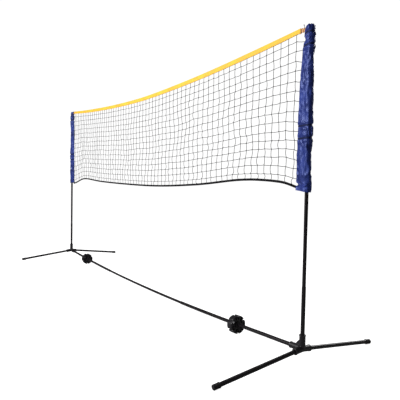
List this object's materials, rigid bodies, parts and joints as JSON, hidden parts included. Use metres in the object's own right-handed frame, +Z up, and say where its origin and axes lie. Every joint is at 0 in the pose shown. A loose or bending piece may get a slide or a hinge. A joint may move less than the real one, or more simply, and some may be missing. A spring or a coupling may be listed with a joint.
{
  "type": "portable volleyball net",
  "caption": "Wide mesh net with a yellow top tape, hung between navy sleeves on slim telescoping poles with splayed legs and a low cross bar with lobed twist grips.",
  "frame": {"origin": "on the floor, midway between the two posts", "axes": "+X to the right post, -Y to the front, +Z up"},
  "size_m": [3.2374, 0.9742, 1.49],
  "materials": {
    "steel_black": "glossy black powder coat",
    "plastic_black": "moulded, fine grain",
    "rubber_black": "matt",
    "screw_steel": "black oxide",
    "navy_fabric": "shiny woven polyester",
    "tie_fabric": "woven ribbon",
    "yellow_tape": "woven binding tape",
    "orange_webbing": "woven webbing",
    "black_tape": "woven binding tape",
    "net_cord": "knotted twine"
  },
  "bodies": {
    "base": {"left_base_hub": "plastic_black", "left_front_leg": "steel_black", "left_back_leg": "steel_black", "left_front_foot_cap": "rubber_black", "left_back_foot_cap": "rubber_black", "left_front_leg_screw": "screw_steel", "left_back_leg_screw": "screw_steel", "left_bar_stub": "steel_black", "left_bar_coupler": "plastic_black", "left_outer_bar": "steel_black", "left_lower_pole": "steel_black", "right_base_hub": "plastic_black", "right_front_leg": "steel_black", "right_back_leg": "steel_black", "right_front_foot_cap": "rubber_black", "right_back_foot_cap": "rubber_black", "right_front_leg_screw": "screw_steel", "right_back_leg_screw": "screw_steel", "right_bar_stub": "steel_black", "right_bar_coupler": "plastic_black", "right_outer_bar": "steel_black", "right_lower_pole": "steel_black", "centre_bar": "steel_black"},
    "left_mast": {"left_upper_pole": "steel_black", "left_pole_cap": "plastic_black", "left_net_sleeve": "navy_fabric", "left_sleeve_tie_1": "tie_fabric", "left_sleeve_tie_2": "tie_fabric", "left_sleeve_tie_3": "tie_fabric", "left_sleeve_tie_4": "tie_fabric", "left_top_tie": "orange_webbing", "net_mesh": "net_cord", "top_tape": "yellow_tape", "bottom_hem": "black_tape"},
    "right_mast": {"right_upper_pole": "steel_black", "right_pole_cap": "plastic_black", "right_net_sleeve": "navy_fabric", "right_sleeve_tie_1": "tie_fabric", "right_sleeve_tie_2": "tie_fabric", "right_sleeve_tie_3": "tie_fabric", "right_sleeve_tie_4": "tie_fabric", "right_top_tie": "orange_webbing"},
    "left_button": {"left_pole_button": "screw_steel"},
    "right_button": {"right_pole_button": "screw_steel"},
    "left_grip": {"left_bar_grip": "plastic_black"},
    "right_grip": {"right_bar_grip": "plastic_black"}
  },
  "joints": [
    {"name": "left_pole_slide", "type": "slide", "parent": "base", "child": "left_mast", "axis": [0, 0, 1], "range_m": [-0.17, 0]},
    {"name": "right_pole_slide", "type": "slide", "parent": "base", "child": "right_mast", "axis": [0, 0, 1], "range_m": [-0.17, 0]},
    {"name": "left_button_press", "type": "slide", "parent": "base", "child": "left_button", "axis": [1, 0, 0], "range_m": [0, 0.0065], "stiffness_N_per_m": 400, "springref_m": -0.002},
    {"name": "right_button_press", "type": "slide", "parent": "base", "child": "right_button", "axis": [-1, 0, 0], "range_m": [0, 0.0065], "stiffness_N_per_m": 400, "springref_m": -0.002},
    {"name": "left_grip_twist", "type": "hinge", "parent": "base", "child": "left_grip", "pos_m": [-1.133, 0, 0.0486], "axis": [-0.9991, 0, 0.0415], "range_deg": [0, 180]},
    {"name": "right_grip_twist", "type": "hinge", "parent": "base", "child": "right_grip", "pos_m": [1.133, 0, 0.0486], "axis": [0.9991, 0, 0.0415], "range_deg": [0, 180]}
  ],
  "couplings": [
    {"joint": "right_pole_slide", "follows": "left_pole_slide", "ratio": 1}
  ]
}
